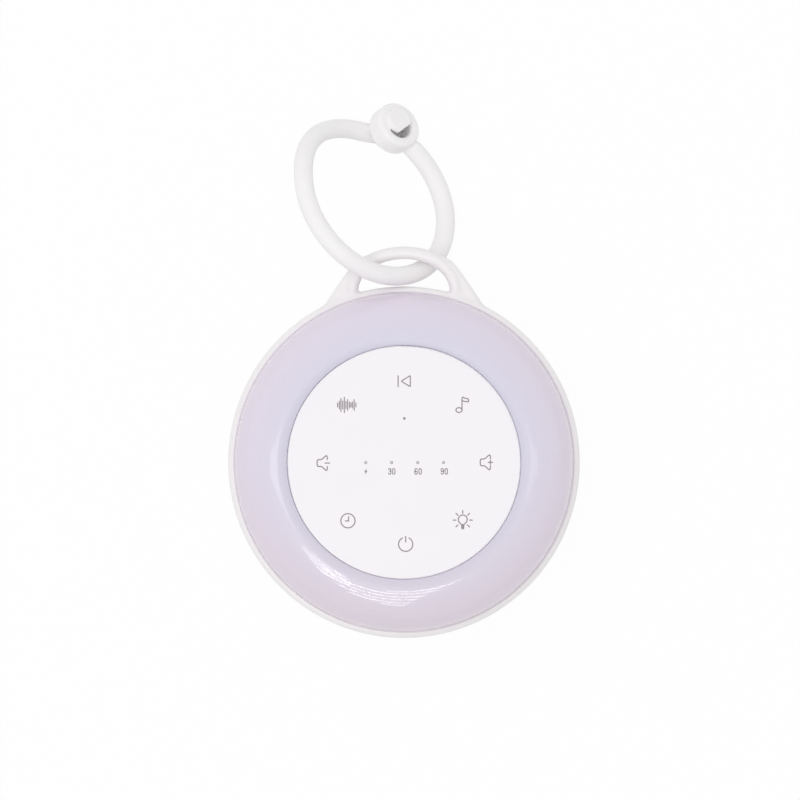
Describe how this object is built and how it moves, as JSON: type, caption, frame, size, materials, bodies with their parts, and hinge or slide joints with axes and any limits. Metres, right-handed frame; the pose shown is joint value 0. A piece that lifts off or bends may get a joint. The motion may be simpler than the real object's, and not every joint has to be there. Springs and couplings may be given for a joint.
{
  "type": "white noise sound machine",
  "caption": "Round portable sound machine with a touch panel, a light ring, a rear speaker grille and a silicone strap looped through its hanger arch.",
  "frame": {"origin": "centre of the rest plane, at the bottom faces of the rubber feet, on the body's axis; the machine lies on its back", "axes": "+Z out of the touch panel, +Y towards the hanger arch, +X to the right seen from the front"},
  "size_m": [0.105, 0.1596, 0.0443],
  "materials": {
    "housing": "fine satin white ABS moulding",
    "diffuser": "satin translucent diffuser plastic, pale lavender grey",
    "panel": "smooth satin white touch panel",
    "strap": "matte white silicone",
    "feet": "matte pale grey rubber",
    "grille": "satin white perforated disc",
    "cloth": "fine black acoustic mesh",
    "foam": "closed-cell foam",
    "speaker_metal": "black painted steel basket",
    "terminal": "brown fibre board with solder",
    "surround": "black rubber roll",
    "cone": "pressed dark film",
    "copper": "enamelled copper winding",
    "spider": "resin-dipped cotton",
    "plate": "zinc plated steel",
    "magnet": "sintered ferrite",
    "inner_plastic": "plain white ABS",
    "white_board": "white solder mask",
    "board": "green solder mask",
    "leds": "phosphor gel in a white package",
    "tape": "double-sided adhesive sheet",
    "chips": "moulded black epoxy",
    "can": "tinned sheet metal",
    "plugs": "natural nylon",
    "knob": "satin pale grey plastic",
    "screws": "zinc plated steel",
    "battery": "laminate pouch with a satin film",
    "ribbon": "flat flexible cable",
    "red_wire": "silicone insulation",
    "dark_wire": "PVC insulation",
    "pale_wire": "PVC insulation"
  },
  "bodies": {
    "machine": {"rear_housing": "housing", "rubber_feet": "feet", "housing_screws": "screws", "speaker_grille": "grille", "grille_cloth": "cloth", "speaker_gasket": "foam", "speaker_frame": "speaker_metal", "speaker_terminal": "terminal", "speaker_surround": "surround", "speaker_spider": "spider", "speaker_top_plate": "plate", "speaker_magnet": "magnet", "speaker_yoke": "plate", "speaker_screws": "screws", "chassis": "inner_plastic", "led_board": "white_board", "night_leds": "leds", "diffuser_ring": "diffuser", "panel_frame": "inner_plastic", "frame_screws": "screws", "touch_board": "board", "panel_tape": "tape", "indicator_leds": "leds", "touch_panel": "panel", "main_board": "board", "board_screws": "screws", "board_chips": "chips", "board_coils": "chips", "board_capacitor": "can", "lead_plugs": "plugs", "usb_shell": "can", "usb_tongue": "chips", "lock_switch": "can", "battery_pad": "foam", "battery_cell": "battery", "battery_guard": "board", "ribbon_sockets": "plugs", "touch_ribbon": "ribbon", "battery_lead": "red_wire", "speaker_lead": "dark_wire", "light_lead": "pale_wire"},
    "strap": {"carry_strap": "strap"},
    "lock": {"lock_knob": "knob", "lock_lever": "chips"},
    "cone": {"speaker_cone": "cone", "speaker_dust_cap": "cone", "voice_coil": "copper"}
  },
  "joints": [
    {"name": "strap_swing", "type": "hinge", "parent": "machine", "child": "strap", "pos_m": [0, 0.063, 0.0303], "axis": [1, 0, 0], "range_deg": [-36, 6]},
    {"name": "lock_slide", "type": "slide", "parent": "machine", "child": "lock", "axis": [0.9272, 0.3746, 0], "range_m": [0, 0.0022]},
    {"name": "cone_stroke", "type": "slide", "parent": "machine", "child": "cone", "axis": [0, 0, 1], "range_m": [-0.0008, 0.0008], "stiffness_N_per_m": 900, "deforming": ["speaker_surround", "speaker_spider"]}
  ]
}
